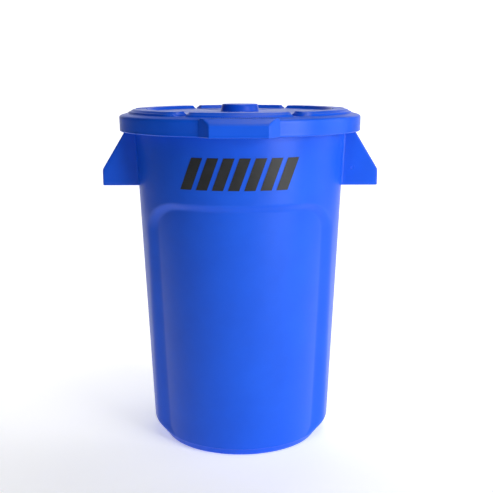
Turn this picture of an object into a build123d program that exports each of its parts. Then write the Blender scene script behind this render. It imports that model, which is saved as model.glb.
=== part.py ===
"""A round lidded storage container, moulded in two pieces, with a printed mark on its front.

The container is a tapered tub on a foot ring. Its front and back have an arched recessed panel,
and the two columns left between the panels carry the hooded handles. A lid with a deep skirt,
six raised pads, a hub and two finger tabs drops over the rim.

Millimetres, +Z up. The origin is the centre of the foot ring, on the floor. The front faces -Y
and the handles are on the X axis.
"""

import math
import os

from build123d import *

# ---- Walls and clearances ----
tub_wall = 3.0
floor_thickness = 3.5
handle_wall = 3.0
lid_wall = 3.0
lid_side_gap = 1.0        # all round, between the rim's edge and the lid's skirt

# ---- Tub ----
rim_height = 432.5        # floor to the rim's top, where the lid rests
mouth_radius = 138.6      # outside of the tub at the rim's top, on a column
base_radius = 118.2       # outside of the same cone at the crease
crease_height = 9.5       # underside of the body, above the foot ring
bevel_height = 12.5       # slanted bottom of each column, above the crease
bevel_run = 10.2          # how far the bevel comes in, down to the crease
bevel_round = 5.0

# ---- Foot ring ----
foot_setback = 2.5        # from the crease in to the ring's top
foot_taper = 3.3          # from the ring's top in to its bottom
foot_width = 5.0
foot_round = 2.2

# ---- Arched panels, front and back ----
panel_drop = 102.5        # rim's top to the top of the arch
panel_side_inset = 19.3   # mouth radius less the arch's half width
panel_corner = 46.0
panel_depth = 5.5         # at the top of the arch
slope_facing = 43.0       # degrees from the Y axis that a panel's two side slopes face
slope_sink_low = 5.3      # how far a side slope's plane passes below the panel's skin, at the floor
slope_sink_high = 2.4     # the same at the rim

# ---- Rim ----
rim_overhang = 15.4       # from the mouth radius out to the rim's edge
rim_thickness = 3.0
rim_lip_drop = 14.0
rim_lip_thickness = 3.0
rim_round = 1.2

# ---- Handles ----
handle_projection = 40.2  # from the mouth radius out to the handle's upright face
handle_drop = 89.5        # rim's top to the handle's bottom
handle_face = 21.0        # height of the upright outer face
handle_half_width = 30.0
handle_slope = 31.2       # degrees that the roof leans in from upright
handle_corner = 2.6
handle_root_round = 4.0
grip_round = 1.4

# ---- Lid ----
skirt_height = 22.5
skirt_round = 4.5         # top edge of the skirt, on the outside
pad_inset = 11.0          # ledge left between the skirt and the pads
pad_rise = 6.0
pad_slope = 40.0          # degrees that a pad's sides lean in
pad_corner = 18.0
channel_width = 9.0       # between two pads, at the ledge
dish_radius = 120.0       # inside the pads the deck is lower, round the hub
dish_depth = 4.2
pad_count = 6
hub_radius = 26.0
hub_rise = 5.5            # above the pads
hub_slope = 15.0

# ---- Finger tabs of the lid, front and back ----
tab_reach = 12.0          # beyond the skirt
tab_face_width = 70.0
tab_root_width = 95.0
tab_drop = 7.0            # of the tab's top, from its root to its face

# ---- Printed mark ----
mark_drop = 64.5          # rim's top to the middle of the mark
mark_height = 39.0
mark_width = 144.0
mark_bars = 7
bar_width = 13.5
bar_slant = 20.0          # degrees from upright
print_thickness = 0.4

# ---- Values that follow ----
cone_slope = (mouth_radius - base_radius) / (rim_height - crease_height)
bevel_top = crease_height + bevel_height
cavity_floor = crease_height + floor_thickness
crease_radius = base_radius - bevel_run
foot_top_radius = crease_radius - foot_setback
foot_radius = foot_top_radius - foot_taper
panel_height = rim_height - panel_drop
panel_half_width = mouth_radius - panel_side_inset
rim_radius = mouth_radius + rim_overhang
handle_reach = mouth_radius + handle_projection
handle_bottom = rim_height - handle_drop
handle_shoulder = handle_bottom + handle_face
handle_lean = math.tan(math.radians(handle_slope))
lid_radius = rim_radius + lid_side_gap + lid_wall
ledge_height = rim_height + lid_wall
skirt_bottom = ledge_height - skirt_height
pad_radius = lid_radius - pad_inset
hub_top = ledge_height + pad_rise + hub_rise
tab_root_depth = math.sqrt(lid_radius**2 - (tab_root_width / 2) ** 2)
bar_shift = mark_height * math.tan(math.radians(bar_slant))
bar_pitch = (mark_width - bar_shift - bar_width) / (mark_bars - 1)
far = 2 * lid_radius      # further out than any surface of the object


def column_radius(height):
    """Outside radius of the tub on a column."""
    return base_radius + cone_slope * (height - crease_height)


panel_top_radius = column_radius(panel_height) - panel_depth
panel_slope = (panel_top_radius - crease_radius) / (panel_height - crease_height)


def panel_radius(height):
    """Outside radius of the tub on a panel."""
    return crease_radius + panel_slope * (height - crease_height)


def between_slopes(wall, side):
    """The space in front of one panel's two side slopes, which are moved in by wall."""
    facing = math.radians(slope_facing)
    with BuildPart() as space:
        for height, sink in ((0, slope_sink_low), (rim_height, slope_sink_high)):
            reach = panel_radius(height) - sink - wall
            foot_x, foot_y = reach * math.sin(facing), side * reach * math.cos(facing)
            with BuildSketch(Plane.XY.offset(height)):
                Polygon(
                    (-reach / math.sin(facing), 0),
                    (-foot_x, foot_y),
                    (foot_x, foot_y),
                    (reach / math.sin(facing), 0),
                    (far, side * far),
                    (-far, side * far),
                    align=None,
                )
        loft(ruled=True)
    return space.part


def panel_space(wall, side):
    """What one panel takes out of the cone, on side -1 or 1 of Y, when the skin is moved in by wall."""
    with BuildPart() as space:
        with BuildSketch(Plane.XZ):
            arch = Rectangle(
                2 * (panel_half_width + wall),
                panel_height + wall,
                align=(Align.CENTER, Align.MIN),
            )
            fillet(arch.vertices().group_by(Axis.Y)[-1], panel_corner + wall)
        extrude(amount=-side * far)
        add(between_slopes(wall, side), mode=Mode.INTERSECT)
        with BuildSketch(Plane.XZ):
            Polygon(
                (0, 0),
                (panel_radius(0) - wall, 0),
                (panel_radius(rim_height) - wall, rim_height),
                (0, rim_height),
                align=None,
            )
        revolve(axis=Axis.Z, mode=Mode.SUBTRACT)
    return space.part


def body_form(wall, bottom, knee_round):
    """The tub's body as a filled form, its skin moved in by wall and standing at height bottom."""
    lean = (column_radius(bevel_top) - crease_radius) / bevel_height
    with BuildPart() as body:
        with BuildSketch(Plane.XZ):
            Polygon(
                (0, bottom),
                (crease_radius + lean * (bottom - crease_height) - wall, bottom),
                (column_radius(bevel_top) - wall, bevel_top),
                (column_radius(rim_height) - wall, rim_height),
                (0, rim_height),
                align=None,
            )
        revolve(axis=Axis.Z)
        rings = body.edges().filter_by(GeomType.CIRCLE).group_by(Axis.Z)
        fillet(rings[1], knee_round)
        add(panel_space(wall, -1), mode=Mode.SUBTRACT)
        add(panel_space(wall, 1), mode=Mode.SUBTRACT)
    return body.part


def handle_form(wall, half_width):
    """One filled handle at +X, with its skin moved in by wall, from the tub's axis outwards."""
    rise = rim_height - handle_shoulder
    skin = wall / math.cos(math.radians(handle_slope))
    with BuildPart() as handle:
        with BuildSketch(Plane.XZ):
            Polygon(
                (0, handle_bottom),
                (handle_reach - wall, handle_bottom),
                (handle_reach - wall, handle_shoulder - (skin - wall) / handle_lean),
                (handle_reach - skin - handle_lean * rise, rim_height),
                (0, rim_height),
                align=None,
            )
        extrude(amount=half_width, both=True)
    return handle.part


# ---- Container: one moulding of foot ring, body, rim and handles ----
with BuildPart() as rim:
    with BuildSketch(Plane.XZ):
        with Locations((0, rim_height)):
            Rectangle(rim_radius, rim_thickness, align=(Align.MIN, Align.MAX))
        with Locations((rim_radius, rim_height)):
            Rectangle(rim_lip_thickness, rim_lip_drop, align=(Align.MAX, Align.MAX))
    revolve(axis=Axis.Z)
    fillet(rim.edges().filter_by(GeomType.CIRCLE).sort_by(SortBy.RADIUS)[-2:], rim_round)

with BuildPart() as foot_ring:
    with BuildSketch(Plane.XZ):
        Polygon(
            (foot_radius - foot_width, 0),
            (foot_radius, 0),
            (foot_top_radius, crease_height),
            (foot_radius - foot_width, crease_height),
            align=None,
        )
    revolve(axis=Axis.Z)
    floor_edges = foot_ring.edges().filter_by(GeomType.CIRCLE).group_by(Axis.Z)[0]
    fillet(floor_edges.sort_by(SortBy.RADIUS)[-1], foot_round)

with BuildPart() as handle_hollow:
    add(handle_form(handle_wall, handle_half_width - handle_wall))
    with BuildSketch(Plane.XZ):
        Polygon(
            (0, 0),
            (column_radius(0), 0),
            (column_radius(rim_height), rim_height),
            (0, rim_height),
            align=None,
        )
    revolve(axis=Axis.Z, mode=Mode.SUBTRACT)
    with BuildSketch(Plane.XY.offset(rim_height - rim_thickness)):
        Circle(far)
    extrude(amount=far, mode=Mode.SUBTRACT)

with BuildPart() as handle:
    add(handle_form(0, handle_half_width))
    beyond_tub = handle.edges().filter_by(lambda e: e.center().X > mouth_radius)
    fillet(beyond_tub.filter_by(Axis.Y).sort_by(Axis.Z)[0], handle_corner)
    plates = handle.faces().filter_by(Axis.Y).edges()
    fillet(plates.filter_by(lambda e: e.center().X > mouth_radius), grip_round)

with BuildPart() as container:
    add(body_form(0, crease_height, bevel_round))
    add(handle.part)
    add(handle.part.mirror(Plane.YZ))
    roots = container.edges().filter_by(
        lambda e: abs(abs(e.center().Y) - handle_half_width) < 1
        and handle_bottom < e.center().Z < rim_height
        and abs(e.center().X) < mouth_radius
    )
    fillet(roots, handle_root_round)
    add(rim.part)
    add(foot_ring.part)
    add(handle_hollow.part, mode=Mode.SUBTRACT)
    add(handle_hollow.part.mirror(Plane.YZ), mode=Mode.SUBTRACT)
    add(body_form(tub_wall, cavity_floor, bevel_round), mode=Mode.SUBTRACT)

container.part.label = "container"


# ---- Lid: one moulding of skirt, deck, pads, hub and finger tabs ----
def pad_plan(inset):
    """The plan of the raised pads, drawn inset from their outline at the ledge."""
    Circle(pad_radius - inset)
    with PolarLocations(0, pad_count // 2):
        Rectangle(2 * far, channel_width + 2 * inset, mode=Mode.SUBTRACT)


def lid_form(inset, bottom):
    """The lid as a filled form, its skin moved in by inset and standing at height bottom."""
    with BuildPart() as form:
        with BuildSketch(Plane.XY.offset(bottom)):
            Circle(lid_radius - inset)
        extrude(amount=ledge_height - inset - bottom)
        fillet(form.edges().group_by(Axis.Z)[-1], skirt_round - inset)
        with BuildSketch(Plane.XY.offset(ledge_height - inset)) as pads:
            pad_plan(inset)
            tips = pads.vertices().filter_by(
                lambda v: math.hypot(v.X, v.Y) > pad_radius / 2
            )
            fillet(tips, pad_corner - inset)
        extrude(amount=pad_rise, taper=pad_slope)
        with BuildSketch(Plane.XY.offset(ledge_height + pad_rise - dish_depth - inset)):
            Circle(dish_radius + inset)
        extrude(amount=pad_rise, taper=-pad_slope, mode=Mode.SUBTRACT)
        with BuildSketch(Plane.XY.offset(ledge_height - inset)):
            Circle(hub_radius - inset)
        extrude(amount=pad_rise + hub_rise, taper=hub_slope)
        add(tab_form(inset, bottom))
        add(tab_form(inset, bottom).mirror(Plane.XZ))
    return form.part


def tab_form(inset, bottom):
    """The front finger tab as a filled form, its skin moved in by inset, from the pads outwards."""
    front = lid_radius + tab_reach - inset
    with BuildPart() as tab:
        with BuildSketch(Plane.YZ):
            Polygon(
                (-pad_radius, bottom),
                (-front, bottom),
                (-front, ledge_height - tab_drop - inset),
                (-lid_radius + inset, ledge_height - inset),
                (-pad_radius, ledge_height - inset),
                align=None,
            )
        extrude(amount=tab_root_width, both=True)
        with BuildSketch(Plane.XY):
            Polygon(
                (-tab_root_width / 2 + inset, -pad_radius),
                (-tab_root_width / 2 + inset, -tab_root_depth),
                (-tab_face_width / 2 + inset, -front),
                (tab_face_width / 2 - inset, -front),
                (tab_root_width / 2 - inset, -tab_root_depth),
                (tab_root_width / 2 - inset, -pad_radius),
                align=None,
            )
        extrude(amount=hub_top, mode=Mode.INTERSECT)
    return tab.part


with BuildPart() as lid:
    add(lid_form(0, skirt_bottom))
    add(lid_form(lid_wall, skirt_bottom), mode=Mode.SUBTRACT)

lid.part.label = "lid"


# ---- Front print: slanted bars of thin film on the tub's upper front ----
with BuildPart() as front_print:
    with BuildSketch(Plane.XZ):
        with Locations((0, rim_height - mark_drop)):
            with GridLocations(bar_pitch, 0, mark_bars, 1):
                Polygon(
                    (0, 0),
                    (bar_width, 0),
                    (bar_width + bar_shift, mark_height),
                    (bar_shift, mark_height),
                    align=(Align.CENTER, Align.CENTER),
                )
    extrude(amount=far)
    with BuildSketch(Plane.XZ):
        Polygon(
            (column_radius(panel_height), panel_height),
            (column_radius(panel_height) + print_thickness, panel_height),
            (column_radius(rim_height) + print_thickness, rim_height),
            (column_radius(rim_height), rim_height),
            align=None,
        )
    revolve(axis=Axis.Z, mode=Mode.INTERSECT)

front_print.part.label = "front_print"

os.makedirs("parts", exist_ok=True)
for piece in (container, lid, front_print):
    export_step(piece.part, f"parts/{piece.part.label}.step")
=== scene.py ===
"""A round lidded storage container with hooded handles, on a pale studio floor.

The container and its lid are two mouldings of blue polyethylene. Their skins are built as rings
of points round the upright axis, so that every edge, step and pad keeps its own rounding. Lengths
are in metres, +Z is up, the front faces -Y and the handles lie on the X axis.
"""

import logging
import math
from dataclasses import dataclass, field
from enum import Enum

import bpy
import numpy as np
from mathutils import Matrix, Vector


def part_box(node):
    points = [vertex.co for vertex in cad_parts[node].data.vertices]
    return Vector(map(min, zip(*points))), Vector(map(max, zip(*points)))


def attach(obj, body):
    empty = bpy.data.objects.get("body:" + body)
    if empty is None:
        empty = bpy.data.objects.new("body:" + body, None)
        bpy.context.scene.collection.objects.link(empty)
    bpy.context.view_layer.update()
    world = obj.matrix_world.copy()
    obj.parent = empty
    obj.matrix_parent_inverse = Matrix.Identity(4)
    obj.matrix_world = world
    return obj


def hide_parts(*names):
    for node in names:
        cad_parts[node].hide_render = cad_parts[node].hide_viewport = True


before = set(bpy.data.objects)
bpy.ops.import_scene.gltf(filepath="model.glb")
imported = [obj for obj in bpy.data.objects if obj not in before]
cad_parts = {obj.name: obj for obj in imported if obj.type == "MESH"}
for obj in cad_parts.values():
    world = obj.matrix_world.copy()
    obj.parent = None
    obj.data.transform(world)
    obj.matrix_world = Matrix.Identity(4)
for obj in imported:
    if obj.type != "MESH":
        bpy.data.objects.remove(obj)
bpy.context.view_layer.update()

MM = 0.001
Rgb = tuple[float, float, float]

log = logging.getLogger("container_scene")


# ---- Shaping helpers ----
def smooth_step(share: np.ndarray) -> np.ndarray:
    """Eases a share from 0 to 1 with level ends."""
    held = np.clip(share, 0.0, 1.0)
    return held * held * (3.0 - 2.0 * held)


def soft_min(a: np.ndarray, b: np.ndarray, blend: float) -> np.ndarray:
    """The smaller of two values, rounded where they cross.

    Args:
        a: First value or array.
        b: Second value or array.
        blend: Difference between the two below which the rounding starts.

    Returns:
        The rounded minimum.
    """
    near = np.maximum(blend - np.abs(a - b), 0.0) / blend
    return np.minimum(a, b) - near * near * blend / 4.0


def soft_max(a: np.ndarray, b: np.ndarray, blend: float) -> np.ndarray:
    """The larger of two values, rounded where they cross."""
    return -soft_min(-a, -b, blend)


def inside_corner(
    across: np.ndarray, along: np.ndarray, radius: float
) -> tuple[np.ndarray, np.ndarray]:
    """Distance inside an outline that has one rounded corner.

    Args:
        across: Distance inside the first edge.
        along: Distance inside the second edge.
        radius: Radius of the corner between the two edges.

    Returns:
        The distance inside the rounded outline, and the share, from 0 at the first edge to 1 at
        the second, that says which edge is the nearer.
    """
    a = np.maximum(radius - across, 0.0)
    b = np.maximum(radius - along, 0.0)
    reach = np.hypot(a, b)
    rounded = radius - reach
    inside = np.where((a > 0) & (b > 0), rounded, np.minimum(across, along))
    turn = np.where(reach > 0, (b * b) / np.maximum(reach * reach, 1e-12), 0.0)
    turn = np.where((a <= 0) & (b <= 0), np.where(along < across, 1.0, 0.0), turn)
    return inside, turn


def graded(*runs: tuple[float, float, int]) -> np.ndarray:
    """Joins runs of evenly spaced values.

    Args:
        *runs: Start, end and number of steps of each run, where a run starts at the last one's end.

    Returns:
        All the values in order, with shared ends given once.
    """
    values = [runs[0][0]]
    for start, end, steps in runs:
        values += list(np.linspace(start, end, steps + 1)[1:])
    return np.array(values)


def quarter_arc(steps: int) -> list[tuple[float, float]]:
    """Sine and cosine pairs over a quarter turn, both ends left out."""
    turns = [math.pi / 2 * k / steps for k in range(1, steps)]
    return [(math.sin(turn), math.cos(turn)) for turn in turns]


# ---- Mesh helpers ----
def finish_mesh(
    name: str, points: np.ndarray, faces: list[tuple[int, ...]], sharp_above: float = 42.0
) -> bpy.types.Object:
    """Makes a shaded object from points and faces.

    Args:
        name: Name of the object.
        points: Corner points, one row each.
        faces: Indices of each face's corners, all turning the same way.
        sharp_above: Angle in degrees above which an edge shades as sharp.

    Returns:
        The new object, linked to the scene.
    """
    mesh = bpy.data.meshes.new(name)
    mesh.from_pydata(points.tolist(), [], faces)
    mesh.validate()
    mesh.shade_smooth()
    mesh.set_sharp_from_angle(angle=math.radians(sharp_above))
    piece = bpy.data.objects.new(name, mesh)
    bpy.context.scene.collection.objects.link(piece)
    return piece


def ring_object(
    name: str, rings: list[np.ndarray], first_pole: float, last_pole: float
) -> bpy.types.Object:
    """Closes a stack of rings into one solid skin with a pole at each end.

    Args:
        name: Name of the object.
        rings: Rings of points round the upright axis, all with the same count.
        first_pole: Height of the point that closes the first ring.
        last_pole: Height of the point that closes the last ring.

    Returns:
        The new object.
    """
    count = len(rings[0])
    last = len(rings) * count
    points = np.vstack([*rings, [[0, 0, first_pole]], [[0, 0, last_pole]]])
    faces: list[tuple[int, ...]] = []
    for j in range(count):
        k = (j + 1) % count
        faces.append((last, j, k))
        faces.append((last + 1, last - count + k, last - count + j))
        for row in range(len(rings) - 1):
            low, high = row * count, (row + 1) * count
            faces.append((low + j, high + j, high + k, low + k))
    return finish_mesh(name, points, faces)


# ---- Finishes ----
class Slot(Enum):
    """The record's material slot names for the tub and the lid."""

    TUB = "tub_plastic"
    LID = "lid_plastic"


def add_node(material: bpy.types.Material, kind: str, **inputs: object) -> bpy.types.Node:
    """Adds a shader node and sets its sockets.

    Args:
        material: Material that takes the node.
        kind: Node type.
        **inputs: Socket values by name, with spaces written as underscores.

    Returns:
        The new node.
    """
    node = material.node_tree.nodes.new(kind)
    for name, value in inputs.items():
        node.inputs[name.replace("_", " ")].default_value = value
    return node


def new_material(name: str) -> tuple[bpy.types.Material, bpy.types.Node]:
    """Makes an empty node material.

    Args:
        name: Name of the material.

    Returns:
        The material and its principled shader.
    """
    material = bpy.data.materials.new(name)
    material.use_nodes = True
    return material, material.node_tree.nodes["Principled BSDF"]


def add_noise(material: bpy.types.Material, scale: float, **inputs: float) -> bpy.types.NodeSocket:
    """Adds a noise that is fixed to the object.

    Args:
        material: Material that takes the noise.
        scale: Scale of the noise.
        **inputs: Other socket values of the noise node.

    Returns:
        The noise's value, from 0 to 1.
    """
    place = add_node(material, "ShaderNodeTexCoord").outputs["Object"]
    noise = add_node(material, "ShaderNodeTexNoise", Scale=scale, **inputs)
    material.node_tree.links.new(place, noise.inputs["Vector"])
    return noise.outputs["Fac"]


def add_tone(
    material: bpy.types.Material, value: bpy.types.NodeSocket, *stops: tuple[float, Rgb]
) -> bpy.types.NodeSocket:
    """Adds a ramp between two colours.

    Args:
        material: Material that takes the ramp.
        value: What drives the ramp.
        *stops: Position and colour of the ramp's two ends.

    Returns:
        The colour.
    """
    ramp = add_node(material, "ShaderNodeValToRGB")
    for element, (position, colour) in zip(ramp.color_ramp.elements, stops):
        element.position = position
        element.color = (*colour, 1.0)
    material.node_tree.links.new(value, ramp.inputs["Fac"])
    return ramp.outputs["Color"]


def add_range(
    material: bpy.types.Material, value: bpy.types.NodeSocket, **inputs: float
) -> bpy.types.Node:
    """Adds a node that maps a value from one range to another.

    Args:
        material: Material that takes the node.
        value: The value to map.
        **inputs: Ends of the two ranges, by socket name.

    Returns:
        The node, whose result is its first output.
    """
    node = add_node(material, "ShaderNodeMapRange", **inputs)
    material.node_tree.links.new(value, node.inputs["Value"])
    return node


def add_math(
    material: bpy.types.Material, operation: str, *values: bpy.types.NodeSocket
) -> bpy.types.NodeSocket:
    """Adds one sum and returns its result.

    Args:
        material: Material that takes the node.
        operation: Name of the sum.
        *values: What the sum takes in.

    Returns:
        The result.
    """
    node = add_node(material, "ShaderNodeMath")
    node.operation = operation
    for socket, value in zip(node.inputs, values):
        material.node_tree.links.new(value, socket)
    return node.outputs["Value"]


def add_relief(
    material: bpy.types.Material,
    height: bpy.types.NodeSocket,
    strength: float,
    depth: float,
    below: bpy.types.NodeSocket | None = None,
) -> bpy.types.NodeSocket:
    """Adds a fine relief to the surface.

    Args:
        material: Material that takes the relief.
        height: Where the surface is raised.
        strength: Share of the relief that shows.
        depth: Depth of the relief.
        below: A coarser relief that this one lies on.

    Returns:
        The changed normal.
    """
    bump = add_node(material, "ShaderNodeBump", Strength=strength, Distance=depth)
    material.node_tree.links.new(height, bump.inputs["Height"])
    if below is not None:
        material.node_tree.links.new(below, bump.inputs["Normal"])
    return bump.outputs["Normal"]


@dataclass(frozen=True)
class MouldedPlastic:
    """Satin moulded polyethylene, with a fine skin, faint mottling, and sharp edges lightened as a
    painted highlight with light handling wear.
    """

    name: str
    light: Rgb = (0.006, 0.112, 0.820)
    deep: Rgb = (0.005, 0.098, 0.750)
    # Paler blue of the painted edge highlight, which also stands for light rub wear.
    highlight_and_wear_tint: Rgb = (0.016, 0.150, 0.880)
    mottle_scale: float = 14.0
    mottle_low: float = 0.30
    mottle_high: float = 0.72
    edge_start: float = 0.56
    edge_full: float = 0.70
    edge_highlight_and_wear: float = 0.55
    smoothest: float = 0.30
    roughest: float = 0.40
    sheen: float = 0.27
    index: float = 1.5
    skin_scale: float = 850.0
    skin_depth: float = 0.04 * MM
    skin_strength: float = 0.6
    ripple_scale: float = 26.0
    ripple_depth: float = 0.5 * MM
    ripple_strength: float = 0.5

    def build(self) -> bpy.types.Material:
        """Builds the material.

        Returns:
            The finished material.
        """
        material, shader = new_material(self.name)
        links = material.node_tree.links
        mottle = add_noise(material, self.mottle_scale, Detail=4.0, Roughness=0.6)
        skin = add_noise(material, self.skin_scale, Detail=2.0)
        ripple = add_noise(material, self.ripple_scale, Detail=1.0)

        tone = add_tone(
            material, mottle, (self.mottle_low, self.deep), (self.mottle_high, self.light)
        )
        # Painted highlight: sharp convex edges, found by pointiness, are mixed towards a paler blue,
        # standing for edge glints together with light rub wear.
        form = add_node(material, "ShaderNodeNewGeometry").outputs["Pointiness"]
        edge = add_range(
            material, form, From_Min=self.edge_start, From_Max=self.edge_full, To_Max=self.edge_highlight_and_wear
        )
        edge_highlight_mix = add_node(material, "ShaderNodeMix")
        edge_highlight_mix.data_type = "RGBA"
        links.new(edge.outputs["Result"], edge_highlight_mix.inputs["Factor"])
        links.new(tone, edge_highlight_mix.inputs[6])
        edge_highlight_mix.inputs[7].default_value = (*self.highlight_and_wear_tint, 1.0)
        links.new(edge_highlight_mix.outputs[2], shader.inputs["Base Color"])

        gloss = add_range(material, mottle, To_Min=self.smoothest, To_Max=self.roughest)
        links.new(gloss.outputs["Result"], shader.inputs["Roughness"])
        wave = add_relief(material, ripple, self.ripple_strength, self.ripple_depth)
        fine = add_relief(material, skin, self.skin_strength, self.skin_depth, wave)
        links.new(fine, shader.inputs["Normal"])
        shader.inputs["IOR"].default_value = self.index
        shader.inputs["Specular IOR Level"].default_value = self.sheen
        return material


@dataclass(frozen=True)
class PrintFilm:
    """Matt black ink film that has taken the grain of the skin below it."""

    name: str
    ink: Rgb = (0.006, 0.007, 0.007)
    thin_ink: Rgb = (0.018, 0.020, 0.022)
    ink_low: float = 0.35
    ink_high: float = 0.80
    cloud_scale: float = 60.0
    grain_scale: float = 700.0
    grain_depth: float = 0.03 * MM
    grain_strength: float = 0.4
    smoothest: float = 0.42
    roughest: float = 0.58

    def build(self) -> bpy.types.Material:
        """Builds the material.

        Returns:
            The finished material.
        """
        material, shader = new_material(self.name)
        links = material.node_tree.links
        grain = add_noise(material, self.grain_scale, Detail=3.0)
        cloud = add_noise(material, self.cloud_scale, Detail=5.0)
        tone = add_tone(material, cloud, (self.ink_low, self.ink), (self.ink_high, self.thin_ink))
        links.new(tone, shader.inputs["Base Color"])
        gloss = add_range(material, cloud, To_Min=self.smoothest, To_Max=self.roughest)
        links.new(gloss.outputs["Result"], shader.inputs["Roughness"])
        relief = add_relief(material, grain, self.grain_strength, self.grain_depth)
        links.new(relief, shader.inputs["Normal"])
        return material


@dataclass(frozen=True)
class PaperSweep:
    """White studio paper that glows as painted light, more behind the object than on the floor in
    front, fading out far to the sides and high up.
    """

    name: str
    white: Rgb = (0.93, 0.93, 0.935)
    roughness: float = 0.95
    sheen: float = 0.1
    fibre_scale: float = 180.0
    fibre_depth: float = 0.1 * MM
    fibre_strength: float = 0.1
    floor_glow: float = 0.38
    back_glow: float = 0.80
    glow_rise: tuple[float, float] = (-0.30, 0.40)
    glow_edge: tuple[float, float] = (1.5, 0.85)

    def glow(self, material: bpy.types.Material) -> bpy.types.NodeSocket:
        """Works out how much the paper glows at each place.

        Args:
            material: Material that takes the nodes.

        Returns:
            The strength of the glow.
        """
        place = add_node(material, "ShaderNodeTexCoord").outputs["Object"]
        split = add_node(material, "ShaderNodeSeparateXYZ")
        material.node_tree.links.new(place, split.inputs["Vector"])
        across, back, up = split.outputs
        aside = add_math(material, "ABSOLUTE", across)
        strength = None
        for distance, (start, full), low, high in (
            (back, self.glow_rise, self.floor_glow, self.back_glow),
            (aside, self.glow_edge, 0.0, 1.0),
            (up, self.glow_edge, 0.0, 1.0),
        ):
            fade = add_range(
                material, distance, From_Min=start, From_Max=full, To_Min=low, To_Max=high
            )
            fade.interpolation_type = "SMOOTHSTEP"
            share = fade.outputs["Result"]
            strength = share if strength is None else add_math(
                material, "MULTIPLY", strength, share
            )
        return strength

    def build(self) -> bpy.types.Material:
        """Builds the material.

        Returns:
            The finished material.
        """
        material, shader = new_material(self.name)
        links = material.node_tree.links
        fibre = add_noise(material, self.fibre_scale, Detail=3.0)
        relief = add_relief(material, fibre, self.fibre_strength, self.fibre_depth)
        links.new(relief, shader.inputs["Normal"])
        shader.inputs["Base Color"].default_value = (*self.white, 1.0)
        shader.inputs["Roughness"].default_value = self.roughness
        shader.inputs["Specular IOR Level"].default_value = self.sheen
        # Painted light: the paper glows by its own emission, with a strength set place by place.
        shader.inputs["Emission Color"].default_value = (*self.white, 1.0)
        links.new(self.glow(material), shader.inputs["Emission Strength"])
        return material


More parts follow.
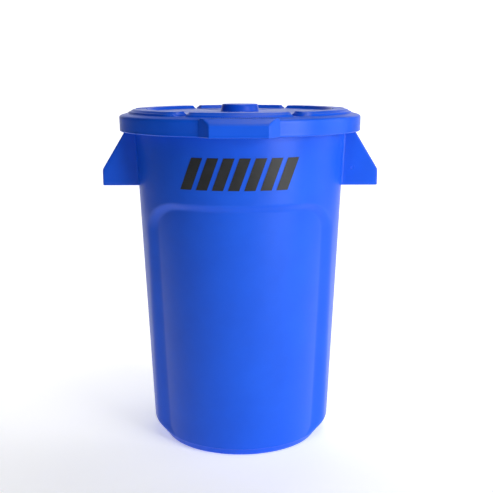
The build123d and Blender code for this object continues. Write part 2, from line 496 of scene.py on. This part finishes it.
# ---- Container ----
@dataclass
class Container:
    """The container's body: a tapered skin with two arched panels, a foot ring and a rim."""

    plastic: bpy.types.Material
    wall: float = 3.0 * MM
    floor_thickness: float = 3.5 * MM
    floor_corner: float = 4.0 * MM
    base_radius: float = 118.2 * MM
    rim_overhang: float = 15.4 * MM
    crease_height: float = 9.5 * MM
    crease_round: float = 1.2 * MM
    bevel_height: float = 12.5 * MM
    bevel_run: float = 10.2 * MM
    bevel_blend: float = 3.6 * MM
    foot_setback: float = 2.5 * MM
    foot_taper: float = 3.3 * MM
    foot_width: float = 5.0 * MM
    foot_round: float = 2.2 * MM
    foot_inner_round: float = 0.8 * MM
    foot_root: float = 0.5 * MM
    arch_drop: float = 101.5 * MM
    arch_corner: float = 40.0 * MM
    panel_depth: float = 5.5 * MM
    side_slope: float = 11.5 * MM
    arch_slope: float = 10.5 * MM
    slope_facing: float = math.radians(43.0)
    slope_sink_low: float = 5.3 * MM
    slope_sink_high: float = 2.4 * MM
    rim_thickness: float = 3.0 * MM
    rim_lip_drop: float = 14.0 * MM
    rim_shoulder: float = 4.0 * MM
    rim_round: float = 1.2 * MM
    rim_fillet: float = 1.5 * MM
    height: float = field(init=False)
    mouth_radius: float = field(init=False)
    rim_radius: float = field(init=False)

    def __post_init__(self) -> None:
        """Takes the overall sizes from the frame."""
        low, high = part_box("container")
        self.height = high.z
        self.rim_radius = high.y
        self.mouth_radius = high.y - self.rim_overhang

    def column_radius(self, z: float) -> float:
        """Outside radius on a column, with the bevel at its foot.

        Args:
            z: Height of the section.

        Returns:
            The radius.
        """
        rise = (self.mouth_radius - self.base_radius) / (self.height - self.crease_height)
        cone = self.base_radius + rise * (z - self.crease_height)
        lean = (self.bevel_run + rise * self.bevel_height) / self.bevel_height
        bevel = self.base_radius - self.bevel_run + lean * (z - self.crease_height)
        return float(soft_min(cone, bevel, self.bevel_blend))

    def panel_radius(self, z: float) -> float:
        """Outside radius on a panel.

        Args:
            z: Height of the section.

        Returns:
            The radius.
        """
        foot = self.base_radius - self.bevel_run
        top = self.height - self.arch_drop
        lean = (self.column_radius(top) - self.panel_depth - foot) / (top - self.crease_height)
        return foot + lean * (z - self.crease_height)

    def slope_turn(self, z: float, moved: float) -> float:
        """Angle from the front at which a panel's side slope meets the column.

        Args:
            z: Height of the section.
            moved: How far the skin is moved in.

        Returns:
            The angle in radians.
        """
        sink = self.slope_sink_low + (self.slope_sink_high - self.slope_sink_low) * z / self.height
        reach = self.panel_radius(z) - sink - moved
        return self.slope_facing + math.acos(min(1.0, reach / (self.column_radius(z) - moved)))

    def turns(self, z: float) -> np.ndarray:
        """Angles from the front to the side at which a ring has its points.

        Args:
            z: Height of the ring.

        Returns:
            Angles over a quarter turn, close together where the side slope runs.
        """
        held = min(max(z, self.crease_height), self.height - self.arch_drop)
        edge = self.slope_turn(held, 0.0)
        panel = graded((0.0, 0.42, 9), (0.42, 0.80, 26), (0.80, 1.0, 16)) * edge
        column = edge + graded((0.0, 0.15, 4), (0.15, 1.0, 12))[1:] * (math.pi / 2 - edge)
        return np.concatenate([panel, column])

    def whole_ring(self, x: np.ndarray, y: np.ndarray, z: float) -> np.ndarray:
        """Mirrors a quarter into a whole ring.

        Args:
            x: Distances across, from the front's middle to the side.
            y: Distances towards the front, for the same points.
            z: Height of the ring.

        Returns:
            Points of the ring, anticlockwise from the front.
        """
        back = slice(-2, None, -1)
        across = np.concatenate([x, x[back], -x[1:], -x[back][:-1]])
        deep = np.concatenate([-y, y[back], y[1:], -y[back][:-1]])
        return np.column_stack([across, deep, np.full(len(across), z)])

    def skin_ring(self, z: float, moved: float = 0.0, level: float | None = None) -> np.ndarray:
        """One ring of the body's skin.

        Args:
            z: Height at which the section is worked out.
            moved: How far the skin is moved in.
            level: Height at which the ring stands, if it isn't z.

        Returns:
            Points of the ring.
        """
        column = self.column_radius(z) - moved
        panel = min(self.panel_radius(z) - moved, column)
        turns = self.turns(z)
        arch_top = self.height - self.arch_drop + moved
        edge = column * math.sin(self.slope_turn(min(z, arch_top), moved))
        inside, corner = inside_corner(
            edge - column * np.sin(turns),
            np.full(len(turns), arch_top - z),
            self.arch_corner,
        )
        width = self.side_slope + (self.arch_slope - self.side_slope) * corner
        radius = column + (panel - column) * smooth_step(inside / width)
        level = z if level is None else level
        return self.whole_ring(radius * np.sin(turns), radius * np.cos(turns), level)

    def round_ring(self, radius: float, z: float, like: float) -> np.ndarray:
        """A plain circle whose points line up with the skin's at another height."""
        turns = self.turns(like)
        return self.whole_ring(radius * np.sin(turns), radius * np.cos(turns), z)

    def inside_rings(self) -> list[np.ndarray]:
        """Rings from the middle of the floor up the inside to the rim.

        Returns:
            The rings, in order.
        """
        floor = self.crease_height + self.floor_thickness
        corner = self.floor_corner
        wall_foot = self.panel_radius(floor + corner) - self.wall - corner
        rings = [self.round_ring(r, floor, floor) for r in np.linspace(0.15, 0.98, 8) * wall_foot]
        for sine, cosine in quarter_arc(5):
            moved = self.wall + corner * (1 - sine)
            rings.append(self.skin_ring(floor + corner, moved, floor + corner * (1 - cosine)))
        for z in self.skin_heights(floor + corner, self.height - self.rim_round):
            rings.append(self.skin_ring(z, self.wall))
        return rings

    def skin_heights(self, start: float, end: float) -> np.ndarray:
        """Heights of the skin's rings, close together at the bevel and the arch.

        Args:
            start: Lowest height.
            end: Highest height.

        Returns:
            The heights, rising.
        """
        arch = self.height - self.arch_drop
        bevel = self.crease_height + self.bevel_height
        straight_from = bevel + 6 * MM
        corner_from = arch - self.arch_corner - 12 * MM
        slope_from = arch - 18 * MM
        column_from = arch + 4 * MM
        return graded(
            (start, straight_from, 14),
            (straight_from, corner_from, 30),
            (corner_from, slope_from, 18),
            (slope_from, column_from, 22),
            (column_from, end, 12),
        )

    def rim_rings(self) -> list[np.ndarray]:
        """Rings over the rim, from its inner edge to where its underside meets the body.

        Returns:
            The rings, in order.
        """
        top, arc, shoulder = self.height, self.rim_round, self.rim_shoulder
        inner = self.column_radius(top) - self.wall
        plan = [(inner + arc * s, top - arc * (1 - s)) for s in (0.4, 0.75)]
        seat = self.rim_radius - shoulder
        plan += [(inner + arc, top), (inner + 4 * arc, top), (seat, top)]
        plan += [(seat + shoulder * s, top - shoulder * (1 - c)) for s, c in quarter_arc(7)]
        hem, half = top - self.rim_lip_drop, self.rim_thickness / 2
        plan += [(self.rim_radius, top - shoulder), (self.rim_radius, hem + half)]
        plan += [
            (self.rim_radius - half + half * math.cos(a), hem + half - half * math.sin(a))
            for a in np.linspace(0.0, math.pi, 9)[1:-1]
        ]
        under, fillet = top - self.rim_thickness, self.rim_fillet
        back = self.rim_radius - self.rim_thickness
        plan += [(back, hem + half), (back, under - fillet)]
        plan += [(back - fillet * (1 - c), under - fillet * (1 - s)) for s, c in quarter_arc(4)]
        skin = self.column_radius(under)
        plan += [(back - fillet, under), (skin + fillet, under)]
        plan += [(skin + fillet * (1 - s), under - fillet * (1 - c)) for s, c in quarter_arc(4)]
        return [self.round_ring(radius, z, top) for radius, z in plan]

    def outside_rings(self) -> list[np.ndarray]:
        """Rings down the outside, from under the rim to the crease above the foot.

        Returns:
            The rings, in order.
        """
        start = self.crease_height + self.crease_round
        end = self.height - self.rim_thickness - self.rim_fillet
        rings = [self.skin_ring(z) for z in self.skin_heights(start, end)[::-1]]
        for sine, cosine in quarter_arc(5):
            moved = self.crease_round * (1 - cosine)
            rings.append(self.skin_ring(start, moved, start - self.crease_round * sine))
        return rings

    def foot_rings(self) -> list[np.ndarray]:
        """Rings from the crease over the foot ring to the middle of the underside.

        Returns:
            The rings, in order.
        """
        crease = self.crease_height
        top = self.base_radius - self.bevel_run - self.foot_setback
        outer = top - self.foot_taper
        inner = outer - self.foot_width
        arc, small, root = self.foot_round, self.foot_inner_round, self.foot_root
        plan = [(top + self.foot_setback - self.crease_round, crease), (top + root, crease)]
        plan += [(top - self.foot_taper * s, crease * (1 - s)) for s in (0.08, 0.4, 0.74)]
        plan += [(outer - arc * (1 - c), arc * (1 - s)) for s, c in quarter_arc(5)]
        plan += [(outer - arc, 0.0), (inner + small, 0.0)]
        plan += [(inner + small * (1 - s), small * (1 - c)) for s, c in quarter_arc(3)]
        plan += [(inner, small), (inner, crease - root), (inner - root, crease)]
        plan += [(inner * share, crease) for share in np.linspace(0.92, 0.15, 7)]
        return [self.round_ring(radius, z, crease) for radius, z in plan]

    def build(self) -> bpy.types.Object:
        """Builds and dresses the body.

        Returns:
            The body, which stands for the container's CAD node.
        """
        rings = self.inside_rings() + self.rim_rings() + self.outside_rings() + self.foot_rings()
        floor = self.crease_height + self.floor_thickness
        body = ring_object("container_body", rings, floor, self.crease_height)
        body.data.materials.append(self.plastic)
        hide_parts("container")
        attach(body, "tub")
        return body


# ---- Handles ----
class Side(Enum):
    """Which side of the container a handle is on."""

    RIGHT = 1
    LEFT = -1


@dataclass
class Handle:
    """A hooded handle, open below, that flares into the body at its root."""

    container: Container
    side: Side
    wall: float = 3.0 * MM
    half_width: float = 30.0 * MM
    drop: float = 89.5 * MM
    face_height: float = 21.0 * MM
    roof_slope: float = math.radians(31.2)
    shoulder_blend: float = 1.4 * MM
    corner: float = 2.2 * MM
    inner_corner: float = 1.0 * MM
    root_flare: float = 4.0 * MM
    inner_flare: float = 1.2 * MM
    lip: float = 1.4 * MM
    sunk: float = 1.5 * MM
    rim_bite: float = 0.1 * MM
    roof_wall: float = 5.0 * MM
    reach: float = field(init=False)
    bottom: float = field(init=False)

    def __post_init__(self) -> None:
        """Takes the reach and the height from the frame."""
        self.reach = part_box("container")[1].x
        self.bottom = self.container.height - self.drop

    def face_reach(self, z: float, moved: float) -> float:
        """How far out the face or the roof is at a height, with the skin moved in.

        Args:
            z: Height of the section.
            moved: How far the skin is moved in.

        Returns:
            The distance from the axis.
        """
        shoulder = self.bottom + self.face_height
        roof = self.reach - math.tan(self.roof_slope) * (z - shoulder)
        roof -= moved / math.cos(self.roof_slope)
        return float(soft_min(self.reach - moved, roof, self.shoulder_blend))

    def half_outline(self, z: float, moved: float) -> np.ndarray:
        """Half of one level's outline, from the body's skin to the middle of the face.

        Args:
            z: Height of the level.
            moved: How far the skin is moved in.

        Returns:
            Points as distance out and distance from the middle.
        """
        share = moved / self.wall
        corner = self.corner + (self.inner_corner - self.corner) * share
        flare = self.root_flare + (self.inner_flare - self.root_flare) * share
        half = self.half_width - moved
        body = self.container.column_radius(z)
        outwards = 1.0 if share <= 0.5 else -1.0
        turn_y = half + outwards * flare
        reach = body + flare
        turn_x = math.sqrt(reach**2 - turn_y**2)
        to_body = math.atan2(-turn_y, -turn_x)
        to_plate = -outwards * math.pi / 2
        root = (body - self.sunk) / reach
        points = [(root * turn_x, root * turn_y)]
        swing = (to_plate - to_body + math.pi) % (2 * math.pi) - math.pi
        for step in np.linspace(0.0, 1.0, 8):
            angle = to_body + swing * step
            points.append((turn_x + flare * math.cos(angle), turn_y + flare * math.sin(angle)))
        face = max(self.face_reach(z, moved), turn_x + corner + 0.2 * MM)
        for x in np.linspace(turn_x, face - corner, 9)[1:]:
            points.append((x, half))
        for sine, cosine in quarter_arc(5):
            points.append((face - corner * (1 - sine), half - corner * (1 - cosine)))
        for y in np.linspace(half - corner, 0.0, 8):
            points.append((face, y))
        return np.array(points)

    def outline(self, z: float, moved: float, level: float | None = None) -> np.ndarray:
        """One level of the hood, from its front root round to its back root.

        Args:
            z: Height of the section.
            moved: How far the skin is moved in.
            level: Height of the points, if it is another one.

        Returns:
            The points.
        """
        half = self.half_outline(z, moved)
        front = np.column_stack([half[:, 0], -half[:, 1]])
        plan = np.vstack([front, half[-2::-1]])
        height = np.full(len(plan), z if level is None else level)
        return np.column_stack([plan[:, 0] * self.side.value, plan[:, 1], height])

    def levels(self) -> tuple[list[np.ndarray], int]:
        """All levels of the hood.

        Returns:
            The levels, from the top of the inside, round the lip, to the top of the outside, and
            how many of them are on the inside and the outside each.
        """
        start = self.bottom + self.lip
        shoulder = self.bottom + self.face_height
        top = self.container.height - self.container.rim_thickness + self.rim_bite
        heights = graded(
            (start, shoulder - 2 * MM, 5),
            (shoulder - 2 * MM, shoulder + 2 * MM, 8),
            (shoulder + 2 * MM, top, 14),
        )
        inner_top = top - self.roof_wall
        squeeze = np.interp(
            heights,
            (start, shoulder + 2 * MM, top),
            (start, shoulder + 1.2 * MM, inner_top),
        )
        inside = [self.outline(z, self.wall) for z in squeeze[::-1]]
        outside = [self.outline(z, 0.0) for z in heights]
        lip = []
        for turn in np.linspace(0.0, math.pi, 9)[1:-1]:
            moved = self.wall / 2 * (1 + math.cos(turn))
            lip.append(self.outline(start, moved, start - self.lip * math.sin(turn)))
        return inside + lip + outside, len(heights)

    def build(self) -> bpy.types.Object:
        """Builds and dresses the handle.

        Returns:
            The handle, riding on the tub.
        """
        levels, skin = self.levels()
        count, last = len(levels[0]), len(levels) - 1
        faces: list[tuple[int, ...]] = []
        for row in range(last):
            for j in range(count - 1):
                low, high = row * count + j, (row + 1) * count + j
                faces.append((low, high, high + 1, low + 1))
        for j in range(count - 1):
            faces.append((last * count + j, j, j + 1, last * count + j + 1))
        for row in range(last // 2):
            other = last - row
            for j, turned in ((0, False), (count - 1, True)):
                quad = (row * count + j, other * count + j, (other - 1) * count + j,
                        (row + 1) * count + j)
                quad = tuple(dict.fromkeys(quad))
                faces.append(quad[::-1] if turned else quad)
        if self.side is Side.RIGHT:
            faces = [face[::-1] for face in faces]
        name = "handle_" + self.side.name.lower()
        handle = finish_mesh(name, np.vstack(levels), faces)
        handle.data.materials.append(self.container.plastic)
        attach(handle, "tub")
        return handle


@dataclass
class GateMark:
    """The small round mark that the mould leaves on the front plate of the right handle."""

    handle: Handle
    radius: float = 3.2 * MM
    height: float = 0.35 * MM
    out: float = 32.8 * MM
    above_bottom: float = 23.0 * MM
    spokes: int = 32

    def build(self) -> bpy.types.Object:
        """Builds and dresses the mark.

        Returns:
            The mark, riding on the tub.
        """
        r, h = self.radius, self.height
        profile = [(0.35 * r, 0.3 * h), (0.66 * r, 0.3 * h), (0.74 * r, 0.9 * h), (0.82 * r, h),
                   (0.9 * r, 0.9 * h), (r, 0.0), (r, -2 * h), (0.4 * r, -2 * h)]
        turns = np.linspace(0.0, 2 * math.pi, self.spokes, endpoint=False)
        rings = [
            np.column_stack([radius * np.cos(turns), radius * np.sin(turns), np.full(len(turns), z)])
            for radius, z in profile
        ]
        mark = ring_object("gate_mark", rings, 0.3 * h, -2 * h)
        x = self.handle.reach - self.out
        z = self.handle.bottom + self.above_bottom
        place = Matrix.Translation((x, -self.handle.half_width, z))
        mark.data.transform(place @ Matrix.Rotation(math.pi / 2, 4, "X"))
        mark.data.materials.append(self.handle.container.plastic)
        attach(mark, "tub")
        return mark


# ---- Lid ----
@dataclass
class Lid:
    """The lid: a deck with six raised pads and a hub, a deep skirt and two finger tabs."""

    plastic: bpy.types.Material
    wall: float = 3.0 * MM
    skirt_height: float = 22.5 * MM
    edge_start: float = 149.0 * MM
    edge_fall: float = 6.0 * MM
    edge_hurry: float = 1.12
    hem_round: float = 2.4 * MM
    skirt_draw: float = 0.35 * MM
    pad_radius: float = 147.0 * MM
    pad_rise: float = 6.0 * MM
    pad_corner: float = 19.0 * MM
    dish_radius: float = 120.0 * MM
    dish_depth: float = 4.2 * MM
    dish_bank: float = 3.5 * MM
    dish_blend: float = 0.5 * MM
    pad_tier: float = 2.3 * MM
    channel_half: float = 2.4 * MM
    channel_bank: float = 2.2 * MM
    rim_bank: float = 5.6 * MM
    hub_radius: float = 26.2 * MM
    hub_bank: float = 3.4 * MM
    hub_blend: float = 1.6 * MM
    hub_hollow: float = 0.25 * MM
    sector: float = math.pi / 6
    tab_face_half: float = 35.0 * MM
    tab_root_half: float = 47.5 * MM
    tab_drop: float = 7.0 * MM
    tab_blend: float = 1.3 * MM
    tab_root_blend: float = 0.8 * MM
    tab_edge: float = 2.0 * MM
    radius: float = field(init=False)
    reach: float = field(init=False)
    bottom: float = field(init=False)
    ledge: float = field(init=False)
    top: float = field(init=False)

    def __post_init__(self) -> None:
        """Takes the overall sizes from the frame."""
        low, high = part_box("lid")
        self.radius, self.reach = high.x, high.y
        self.bottom, self.top = low.z, high.z
        self.ledge = low.z + self.skirt_height

    def turns(self, radius: float) -> np.ndarray:
        """Angles from the front at which a ring of this radius has its points.

        Args:
            radius: Radius of the ring.

        Returns:
            Angles over a whole turn, close together at the channels and at the tabs' corners.
        """
        held = min(max(radius, 24 * MM), 150 * MM)
        bank = self.sector - math.asin(7.0 * MM / held)
        plain = graded((0.0, 0.40, 10), (0.40, 0.6, 7), (0.6, 1.0, 12))
        fine = graded(
            (0.0, 0.20, 5), (0.20, 0.235, 3), (0.235, 0.256, 9), (0.256, 0.34, 5),
            (0.34, 0.40, 8), (0.40, 0.6, 8), (0.6, 1.0, 12),
        )
        whole: list[float] = []
        for index in range(12):
            shares = fine if index in (0, 5, 6, 11) else plain
            angles = np.interp(shares, (0.0, 0.6, 1.0), (0.0, bank, self.sector))
            if index % 2:
                angles = self.sector - angles[::-1]
            whole += list(index * self.sector + angles[:-1])
        return np.array(whole)

    def top_height(self, radius: np.ndarray, turn: np.ndarray) -> np.ndarray:
        """Height of the deck's top, with its pads, channels and hub.

        Args:
            radius: Distances from the axis.
            turn: Angles from the front.

        Returns:
            Heights of the same points.
        """
        fold = np.abs((turn + self.sector) % (2 * self.sector) - self.sector)
        channel = radius * np.sin(self.sector - fold) - self.channel_half
        inside, out = inside_corner(channel, self.pad_radius - radius, self.pad_corner)
        bank = self.channel_bank + (self.rim_bank - self.channel_bank) * out
        tier = self.pad_rise / 2
        pads = tier * smooth_step(inside / (0.8 * self.pad_tier))
        pads += tier * smooth_step((inside - self.pad_tier) / bank)
        dish = self.dish_depth * smooth_step((radius - self.dish_radius) / self.dish_bank)
        pads = soft_min(pads, self.pad_rise - self.dish_depth + dish, self.dish_blend)
        rise = self.top - self.ledge
        hub = rise * smooth_step((self.hub_radius - radius) / self.hub_bank)
        hub -= self.hub_hollow * smooth_step((self.hub_radius * 0.8 - radius) / self.hub_radius)
        return self.ledge + soft_max(pads, hub, self.hub_blend)

    def outline(self, turn: np.ndarray) -> np.ndarray:
        """Distance from the axis to the skirt or to a tab's face.

        Args:
            turn: Angles from the front.

        Returns:
            The distances.
        """
        fold = np.minimum(np.abs(turn) % math.pi, math.pi - np.abs(turn) % math.pi)
        root_depth = math.sqrt(self.radius**2 - self.tab_root_half**2)
        front = self.reach / np.cos(fold)
        run = self.tab_root_half - self.tab_face_half
        rise = self.reach - root_depth
        hold = self.tab_face_half * rise + run * self.reach
        side = hold / (rise * np.sin(fold) + run * np.cos(fold))
        tab = soft_min(front, side, self.tab_blend)
        return soft_max(np.full(len(turn), self.radius), tab, self.tab_root_blend)

    def ring(self, radius: np.ndarray, turn: np.ndarray, z: np.ndarray) -> np.ndarray:
        """Points at these distances, angles and heights."""
        return np.column_stack([radius * np.sin(turn), -radius * np.cos(turn), z])

    def deck_radii(self) -> np.ndarray:
        """Radii of the deck's rings, close together at the hub and at the pads' edge.

        Returns:
            The radii, rising.
        """
        return MM * graded(
            (4.0, 21.5, 4), (21.5, 27.5, 14), (27.5, 40.0, 4), (40.0, 119.0, 12),
            (119.0, 124.5, 12), (124.5, 136.0, 7), (136.0, self.edge_start / MM, 18),
        )

    def edge_rings(self, moved: float) -> list[np.ndarray]:
        """Rings from the deck out over the edge and down to the hem.

        Args:
            moved: How far the skin is moved in.

        Returns:
            The rings, from the deck to just above the hem.
        """
        turn = self.turns(self.radius)
        out = self.outline(turn) - moved
        tab = smooth_step((out + moved - self.radius) / (2.2 * MM))
        start = self.edge_start
        run = self.radius - start - moved
        share = moved / self.wall
        fall = self.edge_fall - 1.2 * MM * share
        rings = []
        for step in np.linspace(0.0, 1.0, 15)[1:]:
            along = min(step * self.edge_hurry, 1.0)
            plain_r = start + run * along
            plain_z = self.ledge - moved - fall * edge_drop(step)
            tab_r = start + (out - start) * along
            deep = tab_r * np.abs(np.cos(turn))
            slope = np.maximum(deep - (self.radius - moved), 0.0) / (self.reach - self.radius)
            tab_z = self.ledge - moved - self.tab_drop * slope
            tab_z -= self.tab_edge * smooth_step((step - 0.80) / 0.20) ** 1.6
            radius = plain_r + (tab_r - plain_r) * tab
            z = plain_z + (tab_z - plain_z) * tab
            rings.append(self.ring(radius, turn, z))
        face_top = rings[-1][:, 2]
        hem = self.bottom + self.hem_round
        for step in (0.12, 0.35, 0.6, 0.82, 1.0):
            z = face_top + (hem - face_top) * step
            rings.append(self.ring(out - self.skirt_draw * step * (1 - share), turn, z))
        return rings

    def build(self) -> bpy.types.Object:
        """Builds and dresses the lid.

        Returns:
            The lid, which stands for the lid's CAD node.
        """
        rings = []
        for r in self.deck_radii():
            turn = self.turns(r)
            rings.append(self.ring(np.full(len(turn), r), turn, self.top_height(r, turn)))
        rings += self.edge_rings(0.0)
        turn = self.turns(self.radius)
        out = self.outline(turn) - self.skirt_draw
        bead = ((0.10, 2.05), (0.22, 1.75), (0.18, 1.35), (-0.25, 0.75), (-0.85, 0.25),
                (-1.45, 0.02), (-2.05, 0.12), (-2.5, 0.5), (-2.65, 1.1))
        for outward, up in bead:
            z = np.full(len(turn), self.bottom + up * MM)
            rings.append(self.ring(out + outward * MM, turn, z))
        rings += self.edge_rings(self.wall)[::-1]
        for r in self.deck_radii()[::-1]:
            turn = self.turns(r)
            under = self.top_height(r, turn) - self.wall
            rings.append(self.ring(np.full(len(turn), r), turn, under))
        hub_top = float(self.top_height(np.zeros(1), np.zeros(1))[0])
        lid = ring_object("lid_moulding", rings, hub_top, hub_top - self.wall)
        lid.data.materials.append(self.plastic)
        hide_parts("lid")
        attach(lid, "lid")
        return lid


def edge_drop(share: float) -> float:
    """How far the lid's edge has fallen: a gentle slope, then a round corner onto the skirt.

    Args:
        share: Share of the run from the deck to the skirt.

    Returns:
        Share of the fall.
    """
    slope_part, corner_from = 0.47, 0.60
    corner = max(0.0, (share - corner_from) / (1.0 - corner_from))
    return slope_part * share**1.3 + (1.0 - slope_part) * (1.0 - math.sqrt(1.0 - corner * corner))


@dataclass
class LedgeTicks:
    """A row of small raised ticks on the ledge in front of the front pad."""

    lid: Lid
    groups: tuple[int, ...] = (4, 6, 3, 7, 5)
    pitch: float = 2.1 * MM
    gap: float = 3.4 * MM
    length: float = 2.6 * MM
    width: float = 1.0 * MM
    height: float = 0.65 * MM
    inset: float = 6.0 * MM

    def build(self) -> bpy.types.Object:
        """Builds and dresses the ticks.

        Returns:
            The ticks, riding on the lid.
        """
        radius = self.lid.radius - self.inset
        places: list[float] = []
        at = 0.0
        for size in self.groups:
            places += [at + self.pitch * k for k in range(size)]
            at = places[-1] + self.pitch + self.gap
        middle = (places[0] + places[-1]) / 2
        points: list[np.ndarray] = []
        faces: list[tuple[int, ...]] = []
        for place in places:
            turn = (place - middle) / radius
            out = np.array([math.sin(turn), -math.cos(turn)])
            side = np.array([math.cos(turn), math.sin(turn)])
            first = len(points)
            for z, shrink in ((-0.3 * MM, 1.0), (self.height * 0.6, 0.9), (self.height, 0.55)):
                for u, v in ((-1, -1), (1, -1), (1, 1), (-1, 1)):
                    plan = out * (radius + v * self.length / 2 * (0.3 + 0.7 * shrink))
                    plan = plan + side * u * self.width / 2 * shrink
                    points.append(np.array([*plan, self.lid.ledge + z]))
            faces.append(tuple(first + k for k in range(4)))
            faces.append(tuple(first + 8 + k for k in (3, 2, 1, 0)))
            for level in (0, 4):
                for k in range(4):
                    a, b = first + level + k, first + level + (k + 1) % 4
                    faces.append((a, a + 4, b + 4, b))
        ticks = finish_mesh("ledge_ticks", np.array(points), faces, 60.0)
        ticks.data.materials.append(self.lid.plastic)
        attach(ticks, "lid")
        return ticks


# ---- Studio ----
@dataclass(frozen=True)
class Lamp:
    """A square softbox."""

    name: str
    place: tuple[float, float, float]
    size: float
    power: float

    def build(self, aim: Vector) -> bpy.types.Object:
        """Hangs the softbox.

        Args:
            aim: Where it points.

        Returns:
            The light.
        """
        lamp = bpy.data.lights.new(self.name, "AREA")
        lamp.size, lamp.energy = self.size, self.power
        light = bpy.data.objects.new(self.name, lamp)
        light.location = self.place
        light.rotation_euler = (aim - light.location).to_track_quat("-Z", "Y").to_euler()
        bpy.context.scene.collection.objects.link(light)
        return light


@dataclass
class Studio:
    """The paper sweep, the lights and the camera."""

    lamps: tuple[Lamp, ...] = (
        Lamp("key", (1.35, -1.3, 0.60), 1.0, 22.0),
        Lamp("side", (2.1, 0.2, 0.7), 1.2, 8.0),
        Lamp("roof", (0.35, -0.95, 1.9), 1.0, 11.0),
        Lamp("top", (0.3, 0.6, 2.0), 0.6, 5.0),
    )
    aim: tuple[float, float, float] = (0.0, 0.0, 0.25)
    air_tint: Rgb = (0.95, 0.97, 1.0)
    air_strength: float = 0.03
    camera_place: tuple[float, float, float] = (0.0082, -1.2245, 0.4873)
    camera_pitch: float = math.radians(10.7)
    camera_roll: float = math.radians(0.14)
    lens: float = 67.2
    sweep_back: float = 2.2
    sweep_front: float = -3.4
    sweep_half: float = 4.0
    sweep_height: float = 3.2
    sweep_curve: float = 1.0

    def build_sweep(self) -> bpy.types.Object:
        """Builds the floor that curves up behind the object.

        Returns:
            The sweep.
        """
        profile = [(self.sweep_front, 0.0), (0.0, 0.0)]
        turns = np.linspace(0.0, math.pi / 2, 17)
        start = self.sweep_back - self.sweep_curve
        profile += [
            (start + self.sweep_curve * math.sin(a), self.sweep_curve * (1 - math.cos(a)))
            for a in turns
        ]
        profile += [(self.sweep_back, self.sweep_height)]
        points = np.array(
            [(side * self.sweep_half, y, z) for y, z in profile for side in (-1, 1)]
        )
        faces = [(2 * k, 2 * k + 1, 2 * k + 3, 2 * k + 2) for k in range(len(profile) - 1)]
        sweep = finish_mesh("paper_sweep", points, faces, 180.0)
        sweep.data.materials.append(PaperSweep("sweep_paper").build())
        return sweep

    def build(self) -> None:
        """Builds the sweep, the lights, the surroundings and the camera."""
        scene = bpy.context.scene
        self.build_sweep()
        for lamp in self.lamps:
            lamp.build(Vector(self.aim))
        world = bpy.data.worlds.new("studio_air")
        world.use_nodes = True
        air = world.node_tree.nodes["Background"]
        air.inputs["Color"].default_value = (*self.air_tint, 1.0)
        air.inputs["Strength"].default_value = self.air_strength
        scene.world = world
        scene.view_settings.view_transform = "Standard"
        optics = bpy.data.cameras.new("view_camera")
        optics.lens = self.lens
        optics.sensor_width = 36.0
        optics.clip_end = 20.0
        camera = bpy.data.objects.new("view_camera", optics)
        tilt = Matrix.Rotation(math.pi / 2 - self.camera_pitch, 4, "X")
        roll = Matrix.Rotation(-self.camera_roll, 4, "Z")
        camera.matrix_world = Matrix.Translation(self.camera_place) @ tilt @ roll
        scene.collection.objects.link(camera)
        scene.camera = camera


def main() -> None:
    logging.basicConfig(level=logging.INFO, format="%(message)s")
    tub_plastic = MouldedPlastic("tub_plastic_satin").build()
    lid_plastic = MouldedPlastic("lid_plastic_satin").build()
    container = Container(tub_plastic)
    handles = [Handle(container, side) for side in Side]
    lid = Lid(lid_plastic)
    for builder in (container, *handles, GateMark(handles[0]), lid, LedgeTicks(lid)):
        piece = builder.build()
        log.info("%s: %d faces", piece.name, len(piece.data.polygons))
    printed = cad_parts["front_print"]
    printed.data.materials.clear()
    printed.data.materials.append(PrintFilm("print_film_matt").build())
    log.info("%s: dressed", printed.name)
    Studio().build()


if __name__ == "__main__":
    main()
